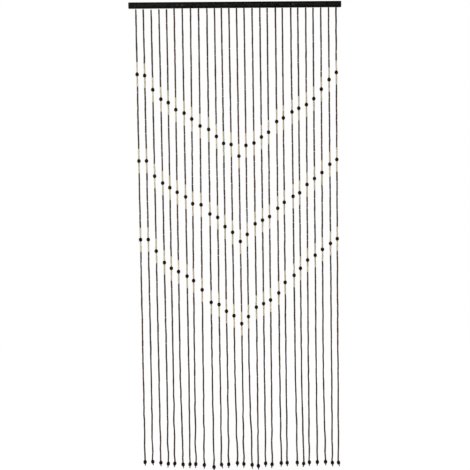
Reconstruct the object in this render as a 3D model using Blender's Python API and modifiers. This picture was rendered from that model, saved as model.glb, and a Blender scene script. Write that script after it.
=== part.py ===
"""Bead curtain on a wooden rod: strings of tube beads with three zigzag rows of round beads.

Metres, +Z up. The origin is the middle of the rod's back face, which lies against the wall.
The front of the curtain faces -Y, and the strings hang down along -Z.
"""

import math
from collections import namedtuple

import bmesh
import bpy
from mathutils import Matrix

MM = 0.001

# Rod: a flat batten with softly rounded edges
ROD_LENGTH = 0.900
ROD_HEIGHT = 0.025
ROD_DEPTH = 0.016
ROD_EDGE_RADIUS = 0.0022
ROD_EDGE_SEGMENTS = 3

# Two screw holes through the rod's face, countersunk from the front
SCREW_SPACING = 0.470
SCREW_HOLE_RADIUS = 0.0013
COUNTERSINK_RADIUS = 0.0030
COUNTERSINK_DEPTH = 0.0017
SCREW_HOLE_SIDES = 20
CUT_MARGIN = 0.0005

# Heading strip that holds all the strings, sunk in a groove along the rod's underside
FIT_GAP = 0.0003
STRIP_LENGTH = 0.870
STRIP_WIDTH = 0.0040
STRIP_HEIGHT = 0.0030

# Thread, tube beads and round beads. The one at a string's foot is a little longer than the others
CORD_RADIUS = 0.0008
SHOULDER = 0.0006
TUBE_RADIUS = 0.0034
ROUND_BEAD_RADIUS = 0.0078
ROUND_BEAD_LENGTH = 0.0166
FOOT_BEAD_LENGTH = 0.0182
ROUND_BEAD_STEPS = 6
RING_SPACING = 0.120
WELD_DISTANCE = 0.00001

# Knot under each string's lowest bead, and its tail
KNOT_RADIUS = 0.0030
KNOT_LENGTH = 0.0060
KNOT_STEPS = 4
TAIL_LENGTH = 0.0030

# Stringing chart, a row for each string from the left end, in millimetres.
# hang is measured from the rod's left end. thread is how much bare thread shows under the rod, and
# upper, middle, lower and foot are how far the middles of the four round beads hang below it.
# belly and stray are how far the string wanders to the right of plumb, on its way and at its foot.
BELLY_DROP = 1.550
String = namedtuple("String", "hang thread upper middle lower foot belly stray")
STRINGS = (
    String(31, 3, 275, 640, 975, 1940, 0, 0),
    String(62, 3, 280, 640, 975, 1940, 3, 2),
    String(95, 5, 340, 705, 1025, 1945, 3, 4),
    String(128, 3, 380, 735, 1075, 1950, 4, 3),
    String(160, 3, 395, 755, 1100, 1950, 0, -1),
    String(192, 1, 425, 775, 1115, 1955, -2, 3),
    String(226, 1, 440, 795, 1135, 1955, 1, -1),
    String(261, 1, 465, 825, 1155, 1955, -9, -11),
    String(295, 1, 495, 830, 1195, 1960, -6, -8),
    String(330, 1, 510, 870, 1250, 1970, -2, -1),
    String(362, 1, 540, 885, 1260, 1960, 0, 0),
    String(391, 1, 570, 925, 1290, 1960, 3, 2),
    String(423, 1, 575, 950, 1310, 1955, 3, 8),
    String(455, 1, 625, 990, 1345, 1960, 4, 4),
    String(487, 1, 580, 960, 1315, 1965, 1, 8),
    String(521, 1, 570, 915, 1275, 1970, 2, 1),
    String(554, 1, 545, 900, 1260, 1960, 0, 0),
    String(585, 1, 525, 885, 1245, 1965, -1, -3),
    String(620, 1, 480, 850, 1215, 1960, 0, 2),
    String(649, 1, 465, 825, 1170, 1960, -1, -1),
    String(685, 1, 440, 800, 1140, 1960, 3, 7),
    String(715, 1, 425, 785, 1110, 1965, 0, 5),
    String(749, 1, 410, 750, 1075, 1960, -4, -4),
    String(780, 1, 385, 725, 1055, 1960, -1, 0),
    String(813, 1, 345, 700, 1030, 1960, -3, 3),
    String(846, 1, 305, 665, 1005, 1965, 0, 0),
    String(878, 1, 275, 645, 985, 1965, -4, -5),
)

# Places worked out from the sizes above
ROD_MIDDLE_Y = -ROD_DEPTH / 2
UNDERSIDE_Z = -ROD_HEIGHT / 2
GROOVE_DEPTH = STRIP_HEIGHT + 2 * FIT_GAP
STRIP_MIDDLE_Z = UNDERSIDE_Z + FIT_GAP + STRIP_HEIGHT / 2


def clear_scene():
    for thing in list(bpy.data.objects):
        bpy.data.objects.remove(thing, do_unlink=True)


def make_collection(name):
    collection = bpy.data.collections.new(name)
    bpy.context.scene.collection.children.link(collection)
    return collection


def make_material(name, colour, roughness):
    material = bpy.data.materials.new(name)
    material.use_nodes = True
    shader = material.node_tree.nodes["Principled BSDF"]
    shader.inputs["Base Color"].default_value = (*colour, 1.0)
    shader.inputs["Roughness"].default_value = roughness
    shader.inputs["Metallic"].default_value = 0.0
    return material


def add_mesh(name, bm, collection):
    """Turn a bmesh into an object in the collection."""
    mesh = bpy.data.meshes.new(name)
    bm.to_mesh(mesh)
    bm.free()
    thing = bpy.data.objects.new(name, mesh)
    collection.objects.link(thing)
    return thing


def add_block(name, size, collection):
    bm = bmesh.new()
    bmesh.ops.create_cube(bm, size=1.0, matrix=Matrix.Diagonal((*size, 1.0)))
    return add_mesh(name, bm, collection)


def add_round(name, back_radius, front_radius, length, collection):
    """A cylinder or cone whose axis runs from the back of the rod to its front."""
    bm = bmesh.new()
    bmesh.ops.create_cone(
        bm,
        cap_ends=True,
        segments=SCREW_HOLE_SIDES,
        radius1=back_radius,
        radius2=front_radius,
        depth=length,
    )
    thing = add_mesh(name, bm, collection)
    thing.rotation_euler = (math.pi / 2, 0.0, 0.0)
    return thing


def mark_as_cutter(thing):
    thing.hide_render = True
    thing.display_type = "WIRE"


def combine(thing, other, operation):
    """Add an exact Boolean of another object, which becomes a cutter."""
    mark_as_cutter(other)
    boolean = thing.modifiers.new(other.name, "BOOLEAN")
    boolean.operation = operation
    boolean.solver = "EXACT"
    boolean.object = other


def add_screw_hole_cutters(number, x, cutters):
    """The shank's hole and its countersink, both running a little past the face they cut."""
    shank = add_round(
        f"screw_hole_{number}", SCREW_HOLE_RADIUS, SCREW_HOLE_RADIUS, ROD_DEPTH + 2 * CUT_MARGIN, cutters
    )
    shank.location = (x, ROD_MIDDLE_Y, 0.0)

    slope = (COUNTERSINK_RADIUS - SCREW_HOLE_RADIUS) / COUNTERSINK_DEPTH
    countersink = add_round(
        f"countersink_{number}",
        SCREW_HOLE_RADIUS - slope * CUT_MARGIN,
        COUNTERSINK_RADIUS + slope * CUT_MARGIN,
        COUNTERSINK_DEPTH + 2 * CUT_MARGIN,
        cutters,
    )
    countersink.location = (x, -ROD_DEPTH + COUNTERSINK_DEPTH / 2, 0.0)
    return shank, countersink


def make_rod(parts, cutters):
    rod = add_block("rod", (ROD_LENGTH, ROD_DEPTH, ROD_HEIGHT), parts)
    rod.location = (0.0, ROD_MIDDLE_Y, 0.0)
    rod.data.materials.append(make_material("black_paint", (0.012, 0.011, 0.010), 0.42))

    rounding = rod.modifiers.new("rounded_edges", "BEVEL")
    rounding.width = ROD_EDGE_RADIUS
    rounding.segments = ROD_EDGE_SEGMENTS

    groove = add_block(
        "groove",
        (STRIP_LENGTH + 2 * FIT_GAP, STRIP_WIDTH + 2 * FIT_GAP, GROOVE_DEPTH + CUT_MARGIN),
        cutters,
    )
    groove.location = (0.0, ROD_MIDDLE_Y, UNDERSIDE_Z + (GROOVE_DEPTH - CUT_MARGIN) / 2)
    combine(rod, groove, "DIFFERENCE")

    for number, x in enumerate((-SCREW_SPACING / 2, SCREW_SPACING / 2), start=1):
        for cutter in add_screw_hole_cutters(number, x, cutters):
            combine(rod, cutter, "DIFFERENCE")
    return rod


def wander(row, drop):
    """How far a string stands to the right of plumb at a depth below the rod."""
    belly = row.belly * MM
    stray = row.stray * MM
    if drop < BELLY_DROP:
        return belly * max(drop, 0.0) / BELLY_DROP
    share = min((drop - BELLY_DROP) / (row.foot * MM - BELLY_DROP), 1.0)
    ease = share * share * (3.0 - 2.0 * share)
    return belly + (stray - belly) * ease


def ball_rings(middle, radius, length, steps):
    """Depth and radius of the rings of a rounded form, leaving out its two poles."""
    angles = [math.pi * step / steps for step in range(1, steps)]
    return [(middle - length / 2 * math.cos(angle), radius * math.sin(angle)) for angle in angles]


def bead_rings(middle, length):
    """A round bead, with a flat at each end as wide as the tube that meets it."""
    rings = [(middle - length / 2, TUBE_RADIUS)]
    rings += ball_rings(middle, ROUND_BEAD_RADIUS, length, ROUND_BEAD_STEPS)
    rings.append((middle + length / 2, TUBE_RADIUS))
    return rings


def knot_rings(top):
    """The knot that carries a string's lowest bead, and the tail left below the knot."""
    middle = top + KNOT_LENGTH / 2
    rings = [(top, CORD_RADIUS)]
    rings += ball_rings(middle, KNOT_RADIUS, KNOT_LENGTH, KNOT_STEPS)
    rings.append((top + KNOT_LENGTH, CORD_RADIUS))
    rings.append((top + KNOT_LENGTH + TAIL_LENGTH, CORD_RADIUS))
    return rings


def run_rings(start, end):
    """Rings of tube radius along a plain run, which let it bend."""
    steps = math.ceil((end - start) / RING_SPACING)
    return [(start + (end - start) * step / steps, TUBE_RADIUS) for step in range(1, steps)]


def string_rings(row):
    """All of a string's rings as depth and radius, from its root in the strip to its foot."""
    rings = [
        (UNDERSIDE_Z - STRIP_MIDDLE_Z, CORD_RADIUS),
        (row.thread * MM, CORD_RADIUS),
        (row.thread * MM + SHOULDER, TUBE_RADIUS),
    ]
    beads = [(drop * MM, ROUND_BEAD_LENGTH) for drop in (row.upper, row.middle, row.lower)]
    for middle, length in beads + [(row.foot * MM, FOOT_BEAD_LENGTH)]:
        rings += run_rings(rings[-1][0], middle - length / 2)
        rings += bead_rings(middle, length)
    rings += knot_rings(rings[-1][0] + SHOULDER)
    return rings


def add_string_curve(cutters):
    """Every string as one four-sided curve, whose points carry the radius of their ring."""
    curve = bpy.data.curves.new("string_curve", "CURVE")
    curve.dimensions = "3D"
    curve.bevel_depth = TUBE_RADIUS
    curve.bevel_resolution = 0
    curve.use_fill_caps = True

    for row in STRINGS:
        rings = string_rings(row)
        spline = curve.splines.new("POLY")
        spline.points.add(len(rings) - 1)
        hang_x = -ROD_LENGTH / 2 + row.hang * MM
        for point, (drop, radius) in zip(spline.points, rings):
            point.co = (hang_x + wander(row, drop), 0.0, -drop, 1.0)
            point.radius = radius / TUBE_RADIUS

    thing = bpy.data.objects.new("string_curve", curve)
    cutters.objects.link(thing)
    thing.location = (0.0, ROD_MIDDLE_Y, UNDERSIDE_Z)
    return thing


def curve_to_mesh(curve_object, name, collection):
    """A welded mesh of a curve object, in the curve's place."""
    bpy.context.view_layer.update()
    evaluated = curve_object.evaluated_get(bpy.context.evaluated_depsgraph_get())
    mesh = bpy.data.meshes.new_from_object(evaluated)
    bm = bmesh.new()
    bm.from_mesh(mesh)
    bmesh.ops.remove_doubles(bm, verts=bm.verts, dist=WELD_DISTANCE)
    bm.to_mesh(mesh)
    bm.free()

    thing = bpy.data.objects.new(name, mesh)
    collection.objects.link(thing)
    thing.matrix_world = curve_object.matrix_world.copy()
    bpy.data.objects.remove(curve_object, do_unlink=True)
    return thing


def make_strands(parts, cutters):
    strands = add_block("strands", (STRIP_LENGTH, STRIP_WIDTH, STRIP_HEIGHT), parts)
    strands.location = (0.0, ROD_MIDDLE_Y, STRIP_MIDDLE_Z)
    strands.data.materials.append(make_material("dark_bamboo", (0.055, 0.040, 0.030), 0.50))

    strings = curve_to_mesh(add_string_curve(cutters), "strings", cutters)
    combine(strands, strings, "UNION")
    return strands


def main():
    clear_scene()
    parts = make_collection("bead_curtain")
    cutters = make_collection("cutters")
    make_rod(parts, cutters)
    make_strands(parts, cutters)


main()
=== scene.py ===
# %% [markdown]
# # A bead curtain on its rod
#
# A door curtain of this kind is a flat black batten with some thirty threads hanging from it. Each
# thread carries dark stained bamboo tubes, and three times on its way down a dark round wooden bead
# between two short runs of unstained bamboo. From string to string these round beads step down to the
# middle and up again, so three zigzag rows show. A last round bead, held by a knot, weighs each thread.
#
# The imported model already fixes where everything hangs, as a plain solid. It is loaded first and stays
# as it is. All that follows dresses it: real tubes with bored ends, beads, thread, knots and paint.

import math
from collections import namedtuple

import bmesh
import bpy
import numpy as np
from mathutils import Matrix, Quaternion, Vector


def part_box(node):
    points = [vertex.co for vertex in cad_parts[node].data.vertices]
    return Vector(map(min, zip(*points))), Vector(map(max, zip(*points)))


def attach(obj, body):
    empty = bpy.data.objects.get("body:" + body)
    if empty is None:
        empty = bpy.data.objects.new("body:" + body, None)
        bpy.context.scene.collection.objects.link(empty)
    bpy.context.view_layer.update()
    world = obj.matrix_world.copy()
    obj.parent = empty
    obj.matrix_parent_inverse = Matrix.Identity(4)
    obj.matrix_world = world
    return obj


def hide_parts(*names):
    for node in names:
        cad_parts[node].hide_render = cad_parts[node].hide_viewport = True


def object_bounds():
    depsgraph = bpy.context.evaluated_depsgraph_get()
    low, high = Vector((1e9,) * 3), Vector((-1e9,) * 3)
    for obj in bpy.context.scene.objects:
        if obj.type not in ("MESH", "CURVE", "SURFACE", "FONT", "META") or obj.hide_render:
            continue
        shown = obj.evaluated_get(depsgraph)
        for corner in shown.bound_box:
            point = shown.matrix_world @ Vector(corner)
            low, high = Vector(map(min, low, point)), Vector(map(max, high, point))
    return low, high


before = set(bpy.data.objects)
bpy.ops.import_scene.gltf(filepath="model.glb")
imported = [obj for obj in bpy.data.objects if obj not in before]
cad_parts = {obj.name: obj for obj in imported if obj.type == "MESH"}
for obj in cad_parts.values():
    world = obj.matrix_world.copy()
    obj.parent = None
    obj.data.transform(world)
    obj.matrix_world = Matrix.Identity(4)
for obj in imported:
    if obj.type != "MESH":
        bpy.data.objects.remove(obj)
cad_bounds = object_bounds()
print("The curtain's box:", [round(length, 3) for length in cad_bounds[1] - cad_bounds[0]], "m")

# %% [markdown]
# ## The camera
#
# The photograph looks straight at the curtain from about four metres, from a little left of its middle
# and from below the rod, and the camera leans by under a degree. A camera's place could be set by hand
# until it fits. Here a target point, a distance and three angles say the same in a form that is easy to
# change, and Blender's track quaternion turns the camera to look along that direction.

# %% Place the camera
CAMERA_TARGET = Vector((-0.0147, 0.0, -0.9747))
CAMERA_DISTANCE = 4.0
CAMERA_AZIMUTH = math.radians(-2.154)
CAMERA_ELEVATION = math.radians(3.369)
CAMERA_ROLL = math.radians(-0.841)
CAMERA_LENS = 71.32
SENSOR_WIDTH = 36.0


def direction_at(azimuth, elevation):
    """The way from the target to a camera or lamp. Azimuth 0 is straight in front of the curtain."""
    level = math.cos(elevation)
    return Vector((math.sin(azimuth) * level, -math.cos(azimuth) * level, math.sin(elevation)))


def add_to_scene(name, data):
    thing = bpy.data.objects.new(name, data)
    bpy.context.scene.collection.objects.link(thing)
    return thing


camera = add_to_scene("camera", bpy.data.cameras.new("camera"))
camera.data.lens = CAMERA_LENS
camera.data.sensor_width = SENSOR_WIDTH
towards_camera = direction_at(CAMERA_AZIMUTH, CAMERA_ELEVATION)
camera.location = CAMERA_TARGET + CAMERA_DISTANCE * towards_camera
camera.rotation_mode = "QUATERNION"
camera.rotation_quaternion = towards_camera.to_track_quat("Z", "Y") @ Quaternion((0, 0, 1), CAMERA_ROLL)
bpy.context.scene.camera = camera
print("The camera stands at", [round(value, 3) for value in camera.location])

# %% [markdown]
# ## A white studio
#
# The curtain hangs in front of plain white. A white wall behind it would do, but it would hide the
# curtain from every view from behind. So the world itself is white for the camera, and lights the
# curtain with a softer grey, as a pale room would. A light path node tells the camera's own rays from
# all others. The view transform is Standard, because it shows a white of 1.0 as plain paper white.

# %% Make the world white
ROOM_LIGHT = 0.20
BACKDROP_WHITE = 1.0
WHITE = (1.0, 1.0, 1.0, 1.0)


def light_world():
    world = bpy.data.worlds.new("studio")
    world.use_nodes = True
    nodes, links = world.node_tree.nodes, world.node_tree.links
    nodes.clear()
    ray = nodes.new("ShaderNodeLightPath")
    room = nodes.new("ShaderNodeBackground")
    room.inputs["Strength"].default_value = ROOM_LIGHT
    backdrop = nodes.new("ShaderNodeBackground")
    backdrop.inputs["Strength"].default_value = BACKDROP_WHITE
    for background in (room, backdrop):
        background.inputs["Color"].default_value = WHITE
    mix = nodes.new("ShaderNodeMixShader")
    output = nodes.new("ShaderNodeOutputWorld")
    links.new(ray.outputs["Is Camera Ray"], mix.inputs[0])
    links.new(room.outputs[0], mix.inputs[1])
    links.new(backdrop.outputs[0], mix.inputs[2])
    links.new(mix.outputs[0], output.inputs["Surface"])
    bpy.context.scene.world = world


light_world()
bpy.context.scene.view_settings.view_transform = "Standard"
print(f"The world shines at {BACKDROP_WHITE} for the camera and at {ROOM_LIGHT} for the room")

# %% [markdown]
# ## Three soft lamps
#
# A soft box is a broad square of light, so an area lamp stands for each. A large one from the left gives
# the tubes their round shape, a weaker one from the right opens the shadows, and one behind serves the
# rear views. A lamp could be placed by its coordinates, but angles round the curtain are easier to
# picture. Each row of the table gives them in degrees, then lengths in metres and power in watts.

# %% Hang the lamps
Lamp = namedtuple("Lamp", "name azimuth elevation distance size power")
LAMPS = (
    Lamp("key_lamp", -38.0, 24.0, 3.4, 1.8, 80.0),
    Lamp("fill_lamp", 47.0, 8.0, 3.8, 2.2, 40.0),
    Lamp("back_lamp", 158.0, 30.0, 3.6, 1.8, 30.0),
)


def hang_lamp(lamp):
    data = bpy.data.lights.new(lamp.name, "AREA")
    data.shape = "SQUARE"
    data.size = lamp.size
    data.energy = lamp.power
    thing = add_to_scene(lamp.name, data)
    direction = direction_at(math.radians(lamp.azimuth), math.radians(lamp.elevation))
    thing.location = CAMERA_TARGET + lamp.distance * direction
    thing.rotation_mode = "QUATERNION"
    thing.rotation_quaternion = direction.to_track_quat("Z", "Y")
    thing.visible_camera = False


for lamp in LAMPS:
    hang_lamp(lamp)
print("Lamps:", ", ".join(lamp.name for lamp in LAMPS))

# %% [markdown]
# ## Finishes are recipes of nodes
#
# Every finish here starts from the Principled shader and varies over the surface: stain soaks unevenly
# into bamboo, paint follows the grain of the wood. Image textures would tie the curtain to files. Noise
# nodes that read the piece's own coordinates need none, and they keep their scale in metres. A few small
# helpers, such as one that adds a node with its inputs, keep each recipe short.

# %% Helpers that add nodes


def new_finish(name):
    material = bpy.data.materials.new(name)
    material.use_nodes = True
    return material, material.node_tree, material.node_tree.nodes["Principled BSDF"]


def add_node(tree, kind, inputs=None, **settings):
    """Add a shader node. Each input gets a link where it is given a socket, and otherwise a value."""
    node = tree.nodes.new("ShaderNode" + kind)
    for name, value in settings.items():
        setattr(node, name, value)
    for name, value in (inputs or {}).items():
        if isinstance(value, bpy.types.NodeSocket):
            tree.links.new(value, node.inputs[name])
        else:
            node.inputs[name].default_value = value
    return node


def note(tree, name):
    """A number that a piece carries on its points."""
    return add_node(tree, "Attribute", attribute_name=name).outputs["Fac"]


def arithmetic(tree, operation, first, second=0.0):
    return add_node(tree, "Math", {0: first, 1: second}, operation=operation).outputs[0]


def spread(tree, value, low, high, start=0.0, end=1.0):
    """Map a value between start and end to one between low and high."""
    limits = {"Value": value, "From Min": start, "From Max": end, "To Min": low, "To Max": high}
    return add_node(tree, "MapRange", limits).outputs["Result"]


def stretched_noise(tree, place, per_metre, detail=4.0, roughness=0.55):
    """Noise whose features have their own size along X, Y and Z, given as how many fit in a metre."""
    scaled = add_node(tree, "Mapping", {"Vector": place, "Scale": per_metre})
    settings = {"Vector": scaled.outputs[0], "Scale": 1.0, "Detail": detail, "Roughness": roughness}
    return add_node(tree, "TexNoise", settings).outputs["Fac"]


print("Helpers that add nodes are ready")

# %% [markdown]
# ## Colour and relief
#
# Three things happen to a colour in every recipe. A ramp turns noise into shades, another colour is laid
# over it by a share, and a factor makes it darker or lighter. Relief is one step: a bump node tilts the
# light as if the surface rose where its number is higher. A finer mesh could carry such relief too, but
# grain and brush marks are far too fine for that.

# %% Helpers for colour and relief


def colour_steps(tree, factor, steps):
    """A colour ramp from (position, colour) steps."""
    ramp = add_node(tree, "ValToRGB", {"Fac": factor})
    elements = ramp.color_ramp.elements
    while len(elements) < len(steps):
        elements.new(0.5)
    for element, (position, colour) in zip(elements, steps):
        element.position = position
        element.color = (*colour, 1.0)
    return ramp.outputs["Color"]


def mix_colours(tree, factor, first, second, blend_type="MIX"):
    """Blend two colours. Sockets 6 and 7 are the ones that the Mix node keeps for colours."""
    mix = add_node(tree, "Mix", data_type="RGBA", blend_type=blend_type)
    for socket, value in ((mix.inputs[0], factor), (mix.inputs[6], first), (mix.inputs[7], second)):
        if isinstance(value, bpy.types.NodeSocket):
            tree.links.new(value, socket)
        else:
            socket.default_value = value if isinstance(value, float) else (*value, 1.0)
    return mix.outputs[2]


def toned(tree, colour, tone):
    """A colour made darker or lighter by a factor."""
    grey = add_node(tree, "CombineColor", {"Red": tone, "Green": tone, "Blue": tone}).outputs[0]
    return mix_colours(tree, 1.0, colour, grey, "MULTIPLY")


def set_bump(tree, shader, height, distance, strength):
    bump = add_node(tree, "Bump", {"Height": height, "Distance": distance, "Strength": strength})
    tree.links.new(bump.outputs["Normal"], shader.inputs["Normal"])


print("Helpers for colour and relief are ready")

# %% [markdown]
# ## Where each string hangs
#
# The strings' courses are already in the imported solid, as rings of four corners down each string. They
# could be typed in again here, but then the beads would part from the solid as soon as it changed. So
# they are read from it. The corner that faces the front gives all that is needed: where the ring is,
# and how wide. The widest rings are the middles of the round beads, and the last rings are the knot.

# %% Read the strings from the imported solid
CORNER_DEPTH = 0.0004
DECIMALS = 6
STRING_BREAK = 0.008
WIDEST_SHARE = 0.98
NECK_STEPS = 3
HungString = namedtuple("HungString", "z x round_beads half_bead half_foot first_tube knot knot_half tail")


def front_corners(node_name, below):
    """(x, z, radius) of each ring of the strings, from the corners that face the front."""
    low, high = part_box(node_name)
    middle_y = (low.y + high.y) / 2
    corners = set()
    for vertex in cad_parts[node_name].data.vertices:
        radius = middle_y - vertex.co.y
        if vertex.co.z < below and radius > CORNER_DEPTH:
            corner = (vertex.co.x, vertex.co.z, radius)
            corners.add(tuple(round(value, DECIMALS) for value in corner))
    return sorted(corners), middle_y


def split_into_strings(corners):
    strings = []
    for corner in corners:
        if not strings or corner[0] - strings[-1][-1][0] > STRING_BREAK:
            strings.append([])
        strings[-1].append(corner)
    return [np.array(sorted(string, key=lambda corner: -corner[1])) for string in strings]


def read_string(rings):
    x, z, radius = rings.T
    middles = np.flatnonzero(radius > WIDEST_SHARE * radius.max())
    last_neck = middles[-1] + NECK_STEPS
    knot = last_neck + 1 + np.argmax(radius[last_neck + 1 :])
    return HungString(
        z=z[::-1],
        x=x[::-1],
        round_beads=z[middles],
        half_bead=z[middles[0]] - z[middles[0] + NECK_STEPS],
        half_foot=z[middles[-1]] - z[last_neck],
        first_tube=z[np.argmax(radius > radius[last_neck] - CORNER_DEPTH)],
        knot=z[knot],
        knot_half=z[last_neck + 1] - z[knot],
        tail=z[-1],
    )


rod_low, rod_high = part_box("rod")
corners, STRING_Y = front_corners("strands", rod_low.z - CORNER_DEPTH)
strings = [read_string(rings) for rings in split_into_strings(corners)]
print(f"{len(strings)} strings, {sum(len(string.round_beads) for string in strings)} round beads")
print("The first string's round beads hang at", [round(float(z), 3) for z in strings[0].round_beads])

# %% [markdown]
# ## How a string really runs
#
# Gravity pulls a string straight, but its stiff tubes lean a little against each other, so it bends by
# a hair at every joint. Near its light end it also hangs in a slow wave, which dies out further up. One
# smooth curve for all of that would look like a rubber cord. The right way is to place the joints: each
# lies on the wave and gets a small push of its own, and every tube then runs straight from one joint to
# the next. The wave is zero at the lowest bead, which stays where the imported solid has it, but tips a
# little to one side, as nothing below steadies it. Its knot and tail tip with it. All of this comes from
# a random generator with a fixed seed, which draws the same numbers on each run.

# %% Let the joints wander
SEED = 27
JOINT_PUSH_TOP = 0.00024
JOINT_PUSH_FOOT = 0.00052
PUSH_LIMIT = 1.7
LEAN_BACK = 0.0004
LEAN_FORWARD = 0.0012
WAVE_REACH = 0.38
WAVE_SIZES = (0.0007, 0.0019)
WAVE_LENGTHS = (0.12, 0.19)
WAVE_SLANT = 0.5
FOOT_TIP = 0.13
TIP_FADE = 0.020
Sway = namedtuple("Sway", "lean wave_right wave_back wave_length tip_right tip_back")
rng = np.random.default_rng(SEED)


def draw_sway():
    """One string's lean to the front or back, its wave, and how far its lowest bead tips."""
    size = rng.choice((-1.0, 1.0)) * rng.uniform(*WAVE_SIZES)
    slant = rng.uniform(-WAVE_SLANT, WAVE_SLANT)
    lean, length = rng.uniform(-LEAN_FORWARD, LEAN_BACK), rng.uniform(*WAVE_LENGTHS)
    tip = FOOT_TIP * np.clip(rng.normal(size=2), -PUSH_LIMIT, PUSH_LIMIT)
    return Sway(lean, size, size * slant, length, *tip)


def share_down(string, z):
    """How far down a string a height lies, from 0 at its root to 1 at its tail."""
    return (z - string.z[-1]) / (string.z[0] - string.z[-1])


def string_point(string, z, sway, push=(0.0, 0.0)):
    """Where a string passes at a height, with its lean, its wave, its tip and a joint's push added."""
    above_foot = z - string.round_beads[-1]
    wave = math.sin(math.tau * above_foot / sway.wave_length) * max(1.0 - above_foot / WAVE_REACH, 0.0)
    fade = 1.0 - (above_foot - string.half_foot) / TIP_FADE
    tip = min(above_foot, string.half_foot) * min(max(fade, 0.0), 1.0)
    lean = sway.lean * share_down(string, z)
    x = np.interp(z, string.z, string.x) + wave * sway.wave_right + tip * sway.tip_right + push[0]
    y = STRING_Y + lean + wave * sway.wave_back + tip * sway.tip_back + push[1]
    return Vector((x, y, z))


def joint_push(string, z):
    size = JOINT_PUSH_TOP + (JOINT_PUSH_FOOT - JOINT_PUSH_TOP) * share_down(string, z)
    return np.clip(rng.normal(size=2), -PUSH_LIMIT, PUSH_LIMIT) * size


sways = [draw_sway() for _ in strings]
largest_lean = max(abs(sway.lean) for sway in sways)
print(f"The foot of a string stands up to {1000 * largest_lean:.1f} mm before or behind the rod's middle")

# %% [markdown]
# ## Sharing out the tubes
#
# Bamboo tubes are sawn from thin stalks, so no two are equally long. On each string the dark tubes fill
# the way down to the next zigzag row, and the pale ones reach a fixed way above and below its round
# bead. A run is shared out by giving every tube a random weight and scaling the weights to the length
# of the run, so the run always ends where it should.

# %% Share out each run
PALE_REACH = 0.0515
DARK_LENGTH = 0.0285
DARK_SPREAD = 0.34
PALE_COUNTS = (1, 2, 3)
PALE_CHANCES = (0.16, 0.56, 0.28)
PALE_SPREAD = 0.36
Run = namedtuple("Run", "kind top bottom count spread")
Slot = namedtuple("Slot", "kind top bottom")


def dark_run(top, bottom):
    return Run("dark", top, bottom, round((top - bottom) / DARK_LENGTH), DARK_SPREAD)


def pale_run(top, bottom):
    return Run("pale", top, bottom, rng.choice(PALE_COUNTS, p=PALE_CHANCES), PALE_SPREAD)


def runs_of(string):
    """A string's runs of tubes from its rod to its lowest bead, with the beads left out."""
    runs, top = [], string.first_tube
    for bead in string.round_beads[:-1]:
        runs.append(dark_run(top, bead + PALE_REACH))
        runs.append(pale_run(bead + PALE_REACH, bead + string.half_bead))
        runs.append(pale_run(bead - string.half_bead, bead - PALE_REACH))
        top = bead - PALE_REACH
    runs.append(dark_run(top, string.round_beads[-1] + string.half_foot))
    return runs


def share_out(run):
    """The stretches of thread that a run's tubes take up, from the top down."""
    weights = rng.uniform(1.0 - run.spread, 1.0 + run.spread, run.count)
    ends = run.top - (run.top - run.bottom) * np.cumsum(weights) / weights.sum()
    tops = np.concatenate([[run.top], ends[:-1]])
    return [Slot(run.kind, top, bottom) for top, bottom in zip(tops, ends)]


slots = [[slot for run in runs_of(string) for slot in share_out(run)] for string in strings]
dark_count = sum(slot.kind == "dark" for row in slots for slot in row)
print(f"{dark_count} dark tubes and {sum(map(len, slots)) - dark_count} pale ones")

# %% [markdown]
# ## The section of a tube bead
#
# A tube is a short piece of stalk with a bore drilled through it and its sawn rims just broken with
# sandpaper. It could be a cylinder with a Boolean bore, but two thousand of those would be slow. Its
# section is drawn instead as a closed loop of rings: down the outside, round the lower rim and up the
# bore. A ring's share says how far down the tube it lies, and its drop how many metres below that. Its
# wall is 0 at the bore and 1 at the skin, and its rim is 1 where the sawn end grain shows.

# %% Draw a tube's section as rings
TUBE_SIDES = 16
BORE_RADIUS = 0.00125
TubeRing = namedtuple("TubeRing", "share drop wall rim")
TUBE_RINGS = (
    TubeRing(0.00, 0.0003, 0.00, 1.0),
    TubeRing(0.00, 0.0, 0.14, 1.0),
    TubeRing(0.00, 0.0, 0.76, 1.0),
    TubeRing(0.00, 0.0004, 1.00, 0.35),
    TubeRing(0.30, 0.0, 1.00, 0.0),
    TubeRing(0.50, 0.0, 1.00, 0.0),
    TubeRing(0.70, 0.0, 1.00, 0.0),
    TubeRing(1.00, -0.0004, 1.00, 0.35),
    TubeRing(1.00, 0.0, 0.76, 1.0),
    TubeRing(1.00, 0.0, 0.14, 1.0),
    TubeRing(1.00, -0.0003, 0.00, 1.0),
)
Solid = namedtuple("Solid", "points notes")


def circle(sides):
    return np.linspace(0.0, math.tau, sides, endpoint=False)


def points_between(top, bottom, share):
    return np.array(top) + share[:, None] * np.array(bottom - top)


def level_rings(middles, radius, sides):
    """Rings that lie level, one under another. radius may differ from ring to ring and side to side."""
    angles = circle(sides)
    points = np.repeat(np.asarray(middles, float)[:, None, :], sides, axis=1)
    points[:, :, 0] += radius * np.cos(angles)
    points[:, :, 1] += radius * np.sin(angles)
    return points


print(f"A tube's section runs through {len(TUBE_RINGS)} rings of {TUBE_SIDES} points")

# %% [markdown]
# ## Two kinds of tube
#
# Real stalks aren't cylinders, and the pale tubes come from a younger, rougher one than the dark. So
# each kind has its own habits: how much the radius varies, and how strongly a tube may taper, be oval,
# bow, or be sawn aslant. Taper and oval are shares of the radius, and all lengths are in metres. Some
# tubes also hold a leaf node, the low swelling where a leaf once grew.

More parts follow.
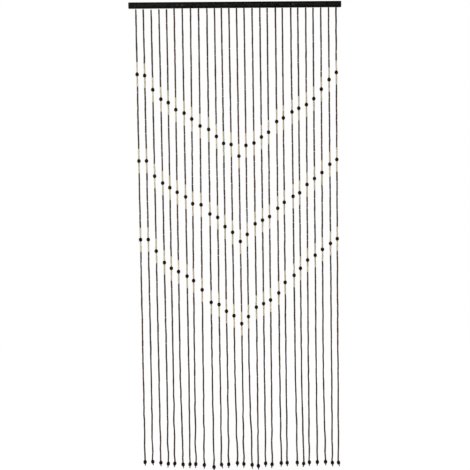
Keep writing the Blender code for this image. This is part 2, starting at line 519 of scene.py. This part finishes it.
# %% Write down the habits of tubes
TubeKind = namedtuple("TubeKind", "radius vary taper oval bow slant node_chance node_height")
TUBE_KINDS = {
    "dark": TubeKind(
        radius=0.00340,
        vary=0.00015,
        taper=0.035,
        oval=0.035,
        bow=0.00016,
        slant=0.00018,
        node_chance=0.07,
        node_height=0.00022,
    ),
    "pale": TubeKind(
        radius=0.00342,
        vary=0.00017,
        taper=0.045,
        oval=0.040,
        bow=0.00018,
        slant=0.00024,
        node_chance=0.18,
        node_height=0.00030,
    ),
}
print("Mean widths:", {kind: f"{2000 * habit.radius:.2f} mm" for kind, habit in TUBE_KINDS.items()})

# %% [markdown]
# ## No two tubes alike
#
# A tube draws its own share of each habit. Its rings are laid out along the line between its ends,
# bowed, made oval and slanted at the rims. One shared mesh with a scale for each tube would be lighter,
# but the eye soon finds the copies.

# %% Make one tube
NODE_RINGS = [4, 5, 6]
NODE_HALF_WIDTH = 0.0011
NODE_PLACES = (0.25, 0.75)
VARY_LIMIT = 2.0


def leaf_node(habit, share, length):
    """The swelling of a leaf node on some tubes. The rings of the middle then move to both sides of it."""
    swell = np.zeros(len(share))
    if rng.random() < habit.node_chance:
        place = rng.uniform(*NODE_PLACES)
        share[NODE_RINGS] = place + np.array([-1.0, 0.0, 1.0]) * NODE_HALF_WIDTH / length
        swell[NODE_RINGS[1]] = habit.node_height
    return swell


def tube(kind, top, bottom, tone, warmth):
    """One tube between two joints, with its tone, its warmth and its own stretch of grain noted."""
    habit = TUBE_KINDS[kind]
    share, drop, wall, rim = map(np.array, zip(*TUBE_RINGS))
    swell = leaf_node(habit, share, (top - bottom).length)
    radius = habit.radius + habit.vary * np.clip(rng.normal(), -VARY_LIMIT, VARY_LIMIT)
    outer = radius * (1.0 + rng.uniform(-habit.taper, habit.taper) * (share - 0.5)) + swell
    ring_radius = BORE_RADIUS + (outer - BORE_RADIUS) * wall

    angles = circle(TUBE_SIDES)
    oval = 1.0 + habit.oval * rng.random() * np.cos(2.0 * (angles - rng.uniform(0.0, math.pi)))
    bend_way, top_way, bottom_way = rng.uniform(0.0, math.tau, 3)
    bend = rng.uniform(0.0, habit.bow) * 4.0 * share * (1.0 - share)
    middles = points_between(top, bottom, share)
    middles[:, 0] += bend * np.cos(bend_way)
    middles[:, 1] += bend * np.sin(bend_way)
    middles[:, 2] -= drop
    points = level_rings(middles, ring_radius[:, None] * oval[None, :], TUBE_SIDES)

    top_slant, bottom_slant = rng.uniform(0.0, habit.slant, 2)
    reach = ring_radius[:, None] / habit.radius
    points[:, :, 2] -= top_slant * reach * (1.0 + np.cos(angles - top_way)) * (share[:, None] == 0.0)
    points[:, :, 2] += bottom_slant * reach * (1.0 + np.cos(angles - bottom_way)) * (share[:, None] == 1.0)
    notes = {"tone": tone, "warmth": warmth, "shift": rng.random(), "rim": rim[:, None]}
    return Solid(points, notes)


sample = tube("dark", Vector((0.0, 0.0, 0.0)), Vector((0.0, 0.0, -DARK_LENGTH)), 1.0, 0.5)
sample_width = sample.points[:, :, 0].max() - sample.points[:, :, 0].min()
print(f"A tube of {1000 * DARK_LENGTH:.1f} mm is {1000 * sample_width:.1f} mm wide")

# %% [markdown]
# ## From rings to a piece
#
# Making each bead as its own object would leave about two thousand objects. Like beads are joined
# into one mesh instead: the points go end to end, the faces follow from the ring and side numbers, and
# the notes become point attributes that the finishes read. A piece made so rides on the rod's body and
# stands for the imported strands, which are hidden.

# %% Join rings into pieces
SHARP_ANGLE = math.radians(50)


def ring_faces(rings, sides, closed):
    """The quads between rings that follow each other. Closed means that the last ring meets the first."""
    ring, side = np.meshgrid(np.arange(rings if closed else rings - 1), np.arange(sides), indexing="ij")
    below = (ring + 1) % rings
    beside = (side + 1) % sides
    quads = (ring * sides + side, below * sides + side, below * sides + beside, ring * sides + beside)
    return np.stack([corner.ravel() for corner in quads], axis=1)


def joined_piece(name, solids, material, closed=True):
    """One piece from many solids of rings. Where a solid isn't closed, each end gets a cap."""
    points, faces, start = [], [], 0
    for solid in solids:
        rings, sides = solid.points.shape[:2]
        points.append(solid.points.reshape(-1, 3))
        faces += (ring_faces(rings, sides, closed) + start).tolist()
        if not closed:
            faces.append(list(range(start, start + sides)))
            faces.append(list(range(start + rings * sides - 1, start + (rings - 1) * sides - 1, -1)))
        start += rings * sides
    mesh = bpy.data.meshes.new(name)
    mesh.from_pydata(np.concatenate(points).tolist(), [], faces)
    for note_name in solids[0].notes:
        parts = [np.broadcast_to(solid.notes[note_name], solid.points.shape[:2]) for solid in solids]
        values = np.concatenate([part.ravel() for part in parts]).astype(np.float32)
        mesh.attributes.new(note_name, "FLOAT", "POINT").data.foreach_set("value", values)
    mesh.shade_smooth()
    mesh.set_sharp_from_angle(angle=SHARP_ANGLE)
    mesh.materials.append(material)
    piece = add_to_scene(name, mesh)
    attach(piece, "root")
    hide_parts("strands")
    triangles = sum(len(face.vertices) - 2 for face in mesh.polygons)
    print(f"{name}: {len(solids)} solids, {triangles} triangles")


print("A tube takes", len(ring_faces(len(TUBE_RINGS), TUBE_SIDES, closed=True)), "faces")

# %% [markdown]
# ## Stained bamboo
#
# The dark tubes are bamboo that was dipped in a dark brown stain. The stain settles along the fibres,
# so the colour runs in fine streaks down each tube, and patches took more or less of it. One tube is a
# little redder, the next greyer, as the eye finds on a real curtain. Long thin noise makes the fibres
# and wider noise the patches, and each tube's note called shift moves it to a stretch of grain of its
# own. The sawn rims show end grain, which drinks more stain and stays dull.

# %% Finish for bamboo tubes
BambooLook = namedtuple("BambooLook", "steps cool warm rim_colour roughness bump")
FIBRES_PER_METRE = (1500.0, 1500.0, 55.0)
PATCHES_PER_METRE = (230.0, 230.0, 48.0)
PATCH_RANGE = (0.25, 0.75)
PATCH_SHADES = (0.82, 1.20)
GRAIN_RANGE = (0.3, 0.7)
GRAIN_TRAVEL = 9.0
BAMBOO_SPECULAR = 0.15
FIBRE_RELIEF = 0.00018
DARK_BAMBOO = BambooLook(
    steps=((0.30, (0.018, 0.0072, 0.0025)), (0.50, (0.047, 0.0205, 0.0075)), (0.72, (0.100, 0.048, 0.019))),
    cool=(0.70, 1.02, 1.30),
    warm=(1.38, 0.93, 0.62),
    rim_colour=(0.030, 0.020, 0.014),
    roughness=(0.42, 0.62),
    bump=0.55,
)


def grain_place(tree, axes):
    """The piece's own coordinates, moved along two axes by each solid's note called shift."""
    place = add_node(tree, "TexCoord").outputs["Object"]
    travel = spread(tree, note(tree, "shift"), 0.0, GRAIN_TRAVEL)
    offset = add_node(tree, "CombineXYZ", {axis: travel for axis in axes}).outputs[0]
    return add_node(tree, "VectorMath", {0: place, 1: offset}, operation="ADD").outputs[0]


def bamboo_finish(name, look):
    material, tree, shader = new_finish(name)
    place = grain_place(tree, "XZ")
    fibres = stretched_noise(tree, place, FIBRES_PER_METRE, detail=5.0)
    patches = stretched_noise(tree, place, PATCHES_PER_METRE, detail=3.0)

    shade = spread(tree, patches, *PATCH_SHADES, *PATCH_RANGE)
    strength = arithmetic(tree, "MULTIPLY", shade, note(tree, "tone"))
    streaked = toned(tree, colour_steps(tree, fibres, look.steps), strength)
    tint = mix_colours(tree, note(tree, "warmth"), look.cool, look.warm)
    tinted = mix_colours(tree, 1.0, streaked, tint, "MULTIPLY")
    colour = mix_colours(tree, note(tree, "rim"), tinted, look.rim_colour)
    tree.links.new(colour, shader.inputs["Base Color"])

    rough = spread(tree, fibres, *look.roughness, *GRAIN_RANGE)
    tree.links.new(rough, shader.inputs["Roughness"])
    shader.inputs["Specular IOR Level"].default_value = BAMBOO_SPECULAR
    set_bump(tree, shader, fibres, FIBRE_RELIEF, look.bump)
    return material


stained_bamboo = bamboo_finish("stained_bamboo", DARK_BAMBOO)
print("Finish:", stained_bamboo.name)

# %% [markdown]
# ## Natural bamboo
#
# The short runs beside the round beads were left unstained: straw yellow that has greyed a little, with
# brown streaks and the odd scorched patch. The recipe is the same, so the same function makes it from
# another set of colours. Its sawn rims are browner than its skin.

# %% Finish for the pale tubes
PALE_BAMBOO = BambooLook(
    steps=((0.28, (0.30, 0.225, 0.135)), (0.48, (0.48, 0.405, 0.285)), (0.72, (0.59, 0.53, 0.405))),
    cool=(0.94, 1.00, 0.98),
    warm=(1.06, 0.97, 0.86),
    rim_colour=(0.36, 0.25, 0.15),
    roughness=(0.36, 0.56),
    bump=0.40,
)
natural_bamboo = bamboo_finish("natural_bamboo", PALE_BAMBOO)
print("Finish:", natural_bamboo.name)

# %% [markdown]
# ## Threading the tubes
#
# Now each string is threaded from the top. A tube fills its stretch of thread but for a sliver of air
# at its ends, where the thread shows. Most joints are tight and a few stand open by a millimetre or
# more, as an exponential draw gives. Tones are drawn around a middle that is each string's own, because
# the tubes of one string come from one batch. Nine pieces of three strings each hold the dark tubes,
# which keeps every piece small enough to use, and one piece holds the pale ones.

# %% Thread the tubes
STRINGS_PER_PIECE = 3
STRING_TONE = (0.88, 1.14)
TUBE_TONE_SPREAD = 0.06
TONE_LIMITS = (0.60, 1.50)
SIDE_SLIP = 0.00016
TIGHT_JOINT = 0.00016
LOOSE_JOINT = 0.00040
WIDEST_JOINT = 0.00200


def end_point(joint, gap_way):
    """A tube's end by a joint, a sliver away from it and slipped a hair to one side."""
    slip = rng.uniform(-SIDE_SLIP, SIDE_SLIP, 2)
    sliver = min(TIGHT_JOINT + rng.exponential(LOOSE_JOINT), WIDEST_JOINT) / 2.0
    return Vector((joint.x + slip[0], joint.y + slip[1], joint.z + gap_way * sliver))


def thread_string(string, row, sway):
    """All tubes of a string, and the joints that its thread passes through."""
    joints = [string_point(string, row[0].top, sway)]
    tubes = {"dark": [], "pale": []}
    string_tone = rng.uniform(*STRING_TONE)
    string_warmth = rng.random()
    for slot in row:
        if joints[-1].z - slot.top > string.half_bead:
            joints.append(string_point(string, slot.top, sway))
        joints.append(string_point(string, slot.bottom, sway, joint_push(string, slot.bottom)))
        top = end_point(joints[-2], -1.0)
        bottom = end_point(joints[-1], 1.0)
        tone = float(np.clip(string_tone + TUBE_TONE_SPREAD * rng.normal(), *TONE_LIMITS))
        warmth = (string_warmth + rng.random()) / 2.0
        tubes[slot.kind].append(tube(slot.kind, top, bottom, tone, warmth))
    return tubes, joints


threaded = [thread_string(string, row, sway) for string, row, sway in zip(strings, slots, sways)]
for first in range(0, len(threaded), STRINGS_PER_PIECE):
    batch = threaded[first : first + STRINGS_PER_PIECE]
    solids = [solid for tubes, _ in batch for solid in tubes["dark"]]
    joined_piece(f"dark_tubes_{first // STRINGS_PER_PIECE + 1}", solids, stained_bamboo)
pale_solids = [solid for tubes, _ in threaded for solid in tubes["pale"]]
joined_piece("pale_tubes", pale_solids, natural_bamboo)

# %% [markdown]
# ## Lacquered wood
#
# The round beads were stained almost black and lacquered. The lacquer gives a soft gloss, a trace of
# red-brown grain still shows through, and round the bore the wood is bare and darker. Grain runs along
# the bore. A plain glossy black would look like glass here, so the coat is thin and its gloss is soft.

# %% Finish for the round beads
BEAD_GRAIN_PER_METRE = (820.0, 820.0, 90.0)
BEAD_STEPS = (
    (0.35, (0.0030, 0.0013, 0.0004)),
    (0.55, (0.0066, 0.0028, 0.0008)),
    (0.80, (0.0180, 0.0080, 0.0028)),
)
BARE_BORE = (0.0060, 0.0035, 0.0020)
LACQUER_ROUGHNESS = (0.20, 0.32)
LACQUER_SPECULAR = 0.06
COAT_WEIGHT = 0.03
COAT_ROUGHNESS = 0.14
BEAD_RELIEF = 0.00012
BEAD_BUMP = 0.35


def lacquer_finish():
    material, tree, shader = new_finish("lacquered_wood")
    grain = stretched_noise(tree, grain_place(tree, "XY"), BEAD_GRAIN_PER_METRE, detail=6.0, roughness=0.6)
    stained = toned(tree, colour_steps(tree, grain, BEAD_STEPS), note(tree, "tone"))
    colour = mix_colours(tree, note(tree, "rim"), stained, BARE_BORE)
    tree.links.new(colour, shader.inputs["Base Color"])
    rough = spread(tree, grain, *LACQUER_ROUGHNESS, *GRAIN_RANGE)
    tree.links.new(rough, shader.inputs["Roughness"])
    shader.inputs["Specular IOR Level"].default_value = LACQUER_SPECULAR
    shader.inputs["Coat Weight"].default_value = COAT_WEIGHT
    shader.inputs["Coat Roughness"].default_value = COAT_ROUGHNESS
    set_bump(tree, shader, grain, BEAD_RELIEF, BEAD_BUMP)
    return material


lacquered_wood = lacquer_finish()
print("Finish:", lacquered_wood.name)

# %% [markdown]
# ## The round beads
#
# These are turned from hardwood, near spheres, a touch longer than wide, with a flat where the bore
# comes out. The one at the foot is longer still. A sphere would miss the flats and the bore that give
# a bead away close up. So a bead is turned here too: its rings follow a circle's sine and cosine between
# the flats, and the loop closes through the bore. No two beads are quite the same size.

# %% Turn the round beads
BEAD_SIDES = 32
BEAD_ARC_RINGS = 15
BEAD_FLAT_RADIUS = 0.0029
BEAD_BORE_RADIUS = 0.0014
BEAD_BORE_BREAK = 0.00035
BEAD_SIZE_SPREAD = 0.012
BEAD_TONES = (0.7, 1.3)
BARE_RINGS = [0, 1, -2, -1]
UPRIGHT = Vector((0.0, 0.0, 1.0))
packed_radius = max(corner[2] for corner in corners)


def turned_profile(radius, half_length):
    """(height, radius) pairs of a round bead's section, from the upper bore edge round to the lower."""
    edge = math.asin(BEAD_FLAT_RADIUS / radius)
    angles = np.linspace(edge, math.pi - edge, BEAD_ARC_RINGS)
    heights = half_length * np.cos(angles) / math.cos(edge)
    lip = BEAD_BORE_RADIUS + BEAD_BORE_BREAK
    flat = [(half_length - BEAD_BORE_BREAK, BEAD_BORE_RADIUS), (half_length, lip)]
    arc = list(zip(heights, radius * np.sin(angles)))
    return np.array(flat + arc + [(-height, width) for height, width in reversed(flat)])


def round_bead(middle, half_length, axis=UPRIGHT):
    """A bead whose bore runs along an axis."""
    size = 1.0 + rng.uniform(-BEAD_SIZE_SPREAD, BEAD_SIZE_SPREAD)
    profile = turned_profile(packed_radius * size, half_length)
    middles = np.zeros((len(profile), 3))
    middles[:, 2] = profile[:, 0]
    rim = np.zeros(len(profile))
    rim[BARE_RINGS] = 1.0
    turn = np.array(UPRIGHT.rotation_difference(axis).to_matrix())
    points = np.array(middle) + level_rings(middles, profile[:, 1][:, None], BEAD_SIDES) @ turn.T
    return Solid(points, {"tone": rng.uniform(*BEAD_TONES), "shift": rng.random(), "rim": rim[:, None]})


def beads_of(string, sway):
    """A string's zigzag beads, which hang upright, and the one at its foot, which tips."""
    places = [string_point(string, z, sway) for z in string.round_beads]
    foot_axis = Vector((sway.tip_right, sway.tip_back, 1.0))
    foot_bead = round_bead(places[-1], string.half_foot, foot_axis)
    return [round_bead(place, string.half_bead) for place in places[:-1]] + [foot_bead]


bead_solids = [bead for string, sway in zip(strings, sways) for bead in beads_of(string, sway)]
joined_piece("round_beads", bead_solids, lacquered_wood)

# %% [markdown]
# ## Twisted thread
#
# The thread is dark brown polyester cord. Its fine twist is too small to model all the way down, so the
# finish adds it as slanting bands in the bump. The colour follows the same height, so it is darker down in
# the grooves between the bands: painted shade. Noise breaks the bands up, as loose fibres do.

# %% Finish for the thread
TWISTS_PER_METRE = 1150.0
TWIST_BANDS = {"Scale": 0.5, "Distortion": 0.6, "Detail": 2.0}
FUZZ_PER_METRE = (4200.0, 4200.0, 1400.0)
# Dark in the twist's grooves as painted shade, lighter on its crests.
THREAD_COLOUR_AND_GROOVE_SHADE = ((0.0, (0.007, 0.005, 0.004)), (0.6, (0.028, 0.020, 0.015)))
THREAD_ROUGHNESS = (0.62, 0.85)
THREAD_SPECULAR = 0.25
THREAD_RELIEF = 0.00012
THREAD_BUMP = 0.6


def thread_finish():
    material, tree, shader = new_finish("twisted_thread")
    place = add_node(tree, "TexCoord").outputs["Object"]
    scaled = add_node(tree, "Mapping", {"Vector": place, "Scale": (TWISTS_PER_METRE,) * 3})
    settings = {"Vector": scaled.outputs[0], **TWIST_BANDS}
    twist = add_node(tree, "TexWave", settings, wave_type="BANDS", bands_direction="DIAGONAL").outputs["Fac"]
    fuzz = stretched_noise(tree, place, FUZZ_PER_METRE, detail=3.0)
    height = arithmetic(tree, "MULTIPLY", twist, fuzz)
    # Painted shade: the colour darkens where the twist's height sinks into its grooves.
    tree.links.new(colour_steps(tree, height, THREAD_COLOUR_AND_GROOVE_SHADE), shader.inputs["Base Color"])
    tree.links.new(spread(tree, fuzz, *THREAD_ROUGHNESS), shader.inputs["Roughness"])
    shader.inputs["Specular IOR Level"].default_value = THREAD_SPECULAR
    set_bump(tree, shader, height, THREAD_RELIEF, THREAD_BUMP)
    return material


twisted_thread = thread_finish()
print("Finish:", twisted_thread.name)

# %% [markdown]
# ## The threads
#
# One thread holds each string together. It shows below the rod, in the slivers between the tubes, and
# under the lowest bead, where a knot carries everything and a short tail is left. Inside the tubes a
# plain round core is enough. Where it shows for longer, at the top and in the tail, it is laid from
# two plies that wind round each other, made of level rings whose middles run round in a circle.

# %% Lay the threads
CORE_SIDES = 8
CORE_RADIUS = 0.00052
PLY_SIDES = 8
PLY_RADIUS = 0.00042
PLY_OFFSET = 0.00038
PLY_PITCH = 0.0026
PLY_RINGS_PER_TURN = 12
FEWEST_PLY_STEPS = 4
PLY_TIP = 0.45
PLY_OVERLAP = 0.1
ROOT_DEPTH = 0.0010
TAIL_SWING = 0.0012


def core(joints):
    middles = np.array([list(joint) for joint in joints])
    points = level_rings(middles, CORE_RADIUS, CORE_SIDES)
    return Solid(points, {"shift": rng.random()})


def plies(top, bottom):
    """Two plies wound round each other between two points, each tapering to a soft tip."""
    length = top.z - bottom.z
    steps = max(FEWEST_PLY_STEPS, round(length / PLY_PITCH * PLY_RINGS_PER_TURN))
    share = np.linspace(0.0, 1.0, steps + 1)
    wind = share * length / PLY_PITCH * math.tau + rng.uniform(0.0, math.tau)
    radius = np.full((steps + 1, 1), PLY_RADIUS)
    radius[-1] = PLY_RADIUS * PLY_TIP
    made = []
    for ply_turn in (0.0, math.pi):
        middles = points_between(top, bottom, share)
        middles[:, 0] += PLY_OFFSET * np.cos(wind + ply_turn)
        middles[:, 1] += PLY_OFFSET * np.sin(wind + ply_turn)
        made.append(Solid(level_rings(middles, radius, PLY_SIDES), {"shift": rng.random()}))
    return made


def threads_of(string, joints, sway):
    """The core through every joint down to the knot, the plies below the rod and the tail."""
    root = string_point(string, rod_low.z + ROOT_DEPTH, sway)
    lowest_bead = string_point(string, string.round_beads[-1], sway)
    knot = string_point(string, string.knot, sway)
    tail = string_point(string, string.tail, sway, rng.uniform(-TAIL_SWING, TAIL_SWING, 2))
    in_first_tube = joints[0] + (joints[1] - joints[0]) * PLY_OVERLAP
    return [core(joints + [lowest_bead, knot])] + plies(root, in_first_tube) + plies(knot, tail)


print(f"Two plies make a thread {2000 * (PLY_OFFSET + PLY_RADIUS):.1f} mm thick")

# %% [markdown]
# ## The knots
#
# Under the lowest bead the thread is tied in a knot too big for the bore. A small ball would do from
# afar, but a knot shows its crossings up close. A thread knotted over itself three times follows the
# curve that mathematicians call a trefoil: it runs twice round the middle while it winds three times
# round its own ring. Rings of points swept along that curve make the knot, and the tail hangs from it.

# %% Tie the knots
KNOT_STEPS = 54
KNOT_SIDES = 8
KNOT_RING_RADIUS = 0.00145
KNOT_SWING = 0.00060
KNOT_THREAD_RADIUS = 0.00095


def trefoil(middle, half_height, turn):
    """A closed knot of thread round an upright axis, as rings of points across its course."""
    steps = circle(KNOT_STEPS)
    round_middle, round_ring = 2 * steps + turn, 3 * steps
    across, down = np.cos(round_middle), np.sin(round_middle)
    rise = half_height - KNOT_THREAD_RADIUS
    out = KNOT_RING_RADIUS + KNOT_SWING * np.cos(round_ring)
    course = np.stack([out * across, out * down, rise * np.sin(round_ring)], axis=1)
    along = np.roll(course, -1, axis=0) - np.roll(course, 1, axis=0)
    along /= np.linalg.norm(along, axis=1)[:, None]
    outward = np.stack([np.cos(round_ring) * across, np.cos(round_ring) * down, np.sin(round_ring)], axis=1)
    outward -= (outward * along).sum(axis=1)[:, None] * along
    outward /= np.linalg.norm(outward, axis=1)[:, None]
    sideways = np.cross(outward, along)
    angles = circle(KNOT_SIDES)[None, :, None]
    rings = outward[:, None, :] * np.cos(angles) + sideways[:, None, :] * np.sin(angles)
    return np.array(middle) + course[:, None, :] + KNOT_THREAD_RADIUS * rings


def knot_of(string, sway):
    middle = string_point(string, string.knot, sway)
    points = trefoil(middle, string.knot_half, rng.uniform(0.0, math.tau))
    return Solid(points, {"shift": rng.random()})


thread_solids, knot_solids = [], []
for string, (_, joints), sway in zip(strings, threaded, sways):
    thread_solids += threads_of(string, joints, sway)
    knot_solids.append(knot_of(string, sway))
joined_piece("threads", thread_solids, twisted_thread, closed=False)
joined_piece("knots", knot_solids, twisted_thread)

# %% [markdown]
# ## Where the paint is rubbed, and where sheen and shade are painted
#
# The rod is a plain softwood batten under satin black paint. The paint is rubbed a shade lighter on the
# edges. The same lighter colour also paints a sheen along the middle of the face and highlights to both
# sides of the two screw holes, and painted shade keeps the holes themselves darkest. These places could be
# painted onto the mesh by hand. Here they come from how far each point lies from the edges and from the
# holes, so they stay true wherever the curtain is used.

# %% Find the worn places and the painted light
HOLE_FROM_MIDDLE = 0.235
# Painted highlights to both sides of each screw hole.
HIGHLIGHT_FROM_HOLE = 0.0094
HIGHLIGHT_NEAR = 0.0020
HIGHLIGHT_FAR = 0.0060
SPOT_HIGHLIGHT = 1.5
# Painted shade: the sheen stops short of each hole, so the hole stays darker.
HOLE_SHADE_NEAR = 0.0036
HOLE_SHADE_FAR = 0.0075
EDGE_WIDTH = 0.0024
# The band of painted sheen along the middle of the face.
BAND_NEAR = 0.0020
BAND_FAR = 0.0080


def distance_inside(tree, value, middle, half_size):
    """How far a coordinate lies inside a pair of faces: 0 on them, rising towards their middle."""
    from_middle = arithmetic(tree, "ABSOLUTE", arithmetic(tree, "SUBTRACT", value, middle))
    return arithmetic(tree, "SUBTRACT", half_size, from_middle)


def near_edges(tree, place):
    """1 along the rod's four long edges, falling to 0 over their rounding."""
    half = (rod_high - rod_low) / 2
    middle = (rod_high + rod_low) / 2
    inside_y = distance_inside(tree, place.outputs["Y"], middle.y, half.y)
    inside_z = distance_inside(tree, place.outputs["Z"], middle.z, half.z)
    return spread(tree, arithmetic(tree, "MAXIMUM", inside_y, inside_z), 1.0, 0.0, 0.0, EDGE_WIDTH)


def sheen_band(tree, place):
    """1 along the middle of the rod's face, where a sheen is painted, falling to 0 towards its edges."""
    from_middle = arithmetic(tree, "ABSOLUTE", place.outputs["Z"])
    return spread(tree, from_middle, 1.0, 0.0, BAND_NEAR, BAND_FAR)


def distance_on_face(tree, along, up):
    reach = add_node(tree, "CombineXYZ", {"X": along, "Y": up}).outputs[0]
    return add_node(tree, "VectorMath", {0: reach}, operation="LENGTH").outputs["Value"]


def hole_highlights_and_shade(tree, place):
    """Two numbers: painted highlights beside each screw hole, and 0 in its countersink, where the sheen
    stops for painted shade.
    """
    from_middle = arithmetic(tree, "ABSOLUTE", place.outputs["X"])
    from_hole = arithmetic(tree, "SUBTRACT", from_middle, HOLE_FROM_MIDDLE)
    from_spot = arithmetic(tree, "SUBTRACT", arithmetic(tree, "ABSOLUTE", from_hole), HIGHLIGHT_FROM_HOLE)
    spot_distance = distance_on_face(tree, from_spot, place.outputs["Z"])
    hole_distance = distance_on_face(tree, from_hole, place.outputs["Z"])
    highlight_spots = spread(tree, spot_distance, SPOT_HIGHLIGHT, 0.0, HIGHLIGHT_NEAR, HIGHLIGHT_FAR)
    return highlight_spots, spread(tree, hole_distance, 0.0, 1.0, HOLE_SHADE_NEAR, HOLE_SHADE_FAR)


print(f"The screw holes are {2000 * HOLE_FROM_MIDDLE:.0f} mm apart")

# %% [markdown]
# ## Black paint on wood
#
# The paint is thin, so the long grain of the wood still stands up a little beneath it, with the marks of
# the brush across it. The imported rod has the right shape, so it stays and only gets this finish, in the
# place of its plain one.

# %% Finish for the rod
ROD_GRAIN_PER_METRE = (10.0, 560.0, 560.0)
ROD_BRUSH_PER_METRE = (3.0, 1500.0, 1500.0)
UNEVEN_PER_METRE = (60.0, 200.0, 200.0)
UNEVEN_RANGE = (0.38, 0.60)
EDGE_WEAR = 0.30
# How strong the painted sheen along the face is.
SHEEN_BAND_STRENGTH = 0.34
PAINT_STEPS = (
    (0.30, (0.0006, 0.0006, 0.0005)),
    (0.55, (0.0012, 0.0012, 0.0011)),
    (0.80, (0.0028, 0.0027, 0.0025)),
)
# Rubbed paint on the edges. The same colour paints the sheen and the highlights.
WORN_AND_SHEEN_PAINT = (0.040, 0.039, 0.036)
PAINT_ROUGHNESS = (0.40, 0.58)
PAINT_SPECULAR = 0.06
BRUSH_HEIGHT = 0.25
PAINT_RELIEF = 0.00022
PAINT_BUMP = 0.5


def wear_and_sheen(tree, position):
    """How far the paint is rubbed on the edges, together with the painted sheen and highlights on the face.
    """
    place = add_node(tree, "SeparateXYZ", {0: position})
    edges = arithmetic(tree, "MULTIPLY", near_edges(tree, place), EDGE_WEAR)
    # A painted sheen along the middle of the face.
    sheen = arithmetic(tree, "MULTIPLY", sheen_band(tree, place), SHEEN_BAND_STRENGTH)
    # Painted highlights beside the screw holes, and painted shade in them.
    highlight_spots, outside_hole_shade = hole_highlights_and_shade(tree, place)
    # The painted sheen is left out at the holes, as painted shade.
    worn_and_sheen = arithmetic(tree, "MAXIMUM", edges, arithmetic(tree, "MULTIPLY", sheen, outside_hole_shade))
    worn_and_sheen = arithmetic(tree, "MAXIMUM", worn_and_sheen, highlight_spots)
    uneven = spread(tree, stretched_noise(tree, position, UNEVEN_PER_METRE), 0.0, 1.0, *UNEVEN_RANGE)
    return arithmetic(tree, "MULTIPLY", worn_and_sheen, uneven)


def paint_finish():
    material, tree, shader = new_finish("black_paint")
    position = add_node(tree, "TexCoord").outputs["Object"]
    grain = stretched_noise(tree, position, ROD_GRAIN_PER_METRE, detail=6.0)
    brush = stretched_noise(tree, position, ROD_BRUSH_PER_METRE, detail=2.0)
    painted = colour_steps(tree, grain, PAINT_STEPS)
    # Lighter where the edges are rubbed, and where sheen and highlights are painted.
    colour = mix_colours(tree, wear_and_sheen(tree, position), painted, WORN_AND_SHEEN_PAINT)
    tree.links.new(colour, shader.inputs["Base Color"])
    rough = spread(tree, brush, *PAINT_ROUGHNESS, *GRAIN_RANGE)
    tree.links.new(rough, shader.inputs["Roughness"])
    shader.inputs["Specular IOR Level"].default_value = PAINT_SPECULAR
    ridges = arithmetic(tree, "ADD", grain, arithmetic(tree, "MULTIPLY", brush, BRUSH_HEIGHT))
    set_bump(tree, shader, ridges, PAINT_RELIEF, PAINT_BUMP)
    return material


black_paint = paint_finish()
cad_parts["rod"].material_slots[0].material = black_paint
print("Finish:", black_paint.name, "on the rod")

# %% [markdown]
# ## The heading strip
#
# The threads are held in a slim strip that is pressed into a groove under the rod, where the eye rarely
# goes. It is as long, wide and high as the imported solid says: its corners are the ones that lie above
# the rod's underside. A block whose edges are broken by a small bevel is all it needs, in the rod's
# black paint.

# %% Make the heading strip
STRIP_BEVEL = 0.0004
STRIP_BEVEL_STEPS = 3
UNDERSIDE_MARGIN = 0.0002


def strip_corners():
    above = rod_low.z + UNDERSIDE_MARGIN
    upper = [v.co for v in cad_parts["strands"].data.vertices if v.co.z > above]
    return Vector(map(min, zip(*upper))), Vector(map(max, zip(*upper)))


def make_strip(low, high):
    bm = bmesh.new()
    bmesh.ops.create_cube(bm, size=1.0)
    bmesh.ops.scale(bm, vec=high - low, verts=bm.verts)
    bmesh.ops.translate(bm, vec=(low + high) / 2, verts=bm.verts)
    bmesh.ops.bevel(bm, geom=bm.edges, offset=STRIP_BEVEL, segments=STRIP_BEVEL_STEPS, profile=0.5)
    mesh = bpy.data.meshes.new("heading_strip")
    bm.to_mesh(mesh)
    bm.free()
    mesh.shade_smooth()
    mesh.materials.append(black_paint)
    strip = add_to_scene("heading_strip", mesh)
    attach(strip, "root")
    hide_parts("strands")


strip_low, strip_high = strip_corners()
make_strip(strip_low, strip_high)
print("The strip measures", [round(1000 * size, 1) for size in strip_high - strip_low], "mm")

# %% [markdown]
# ## The floor
#
# The curtain's feet hang just clear of the floor. In the photograph the floor is lost in white, so this
# one is pale and carries a little light of its own, enough to reach the same white. It should reach it
# and no more: where a backdrop is brighter than white, it eats into the edges of thin dark things in
# front of it. So its own light grows with the distance from the middle, where the lamps reach it less.
# It is a stage piece and no part of the curtain.

# %% Lay the floor
FLOOR_BELOW_FEET = 0.05
FLOOR_SIZE = 7.0
CLOUDS_PER_METRE = (6.0, 6.0, 6.0)
FLOOR_COLOURS = ((0.3, (0.56, 0.56, 0.555)), (0.7, (0.59, 0.59, 0.585)))
FLOOR_ROUGHNESS = 0.8
FLOOR_GLOW_MIDDLE = 0.65
FLOOR_GLOW_RIM = 0.80


def floor_finish():
    material, tree, shader = new_finish("pale_floor")
    place = add_node(tree, "TexCoord").outputs["Object"]
    clouds = stretched_noise(tree, place, CLOUDS_PER_METRE)
    tree.links.new(colour_steps(tree, clouds, FLOOR_COLOURS), shader.inputs["Base Color"])
    shader.inputs["Roughness"].default_value = FLOOR_ROUGHNESS
    from_middle = add_node(tree, "VectorMath", {0: place}, operation="LENGTH").outputs["Value"]
    glow = spread(tree, from_middle, FLOOR_GLOW_MIDDLE, FLOOR_GLOW_RIM, 0.0, FLOOR_SIZE / 2)
    shader.inputs["Emission Color"].default_value = WHITE
    tree.links.new(glow, shader.inputs["Emission Strength"])
    return material


def lay_floor():
    bm = bmesh.new()
    bmesh.ops.create_grid(bm, x_segments=1, y_segments=1, size=FLOOR_SIZE / 2)
    mesh = bpy.data.meshes.new("floor")
    bm.to_mesh(mesh)
    bm.free()
    mesh.materials.append(floor_finish())
    floor = add_to_scene("floor", mesh)
    floor.location.z = cad_bounds[0].z - FLOOR_BELOW_FEET
    return floor


floor = lay_floor()
print(f"The floor lies {1000 * (cad_bounds[0].z - floor.location.z):.0f} mm below the lowest tail")
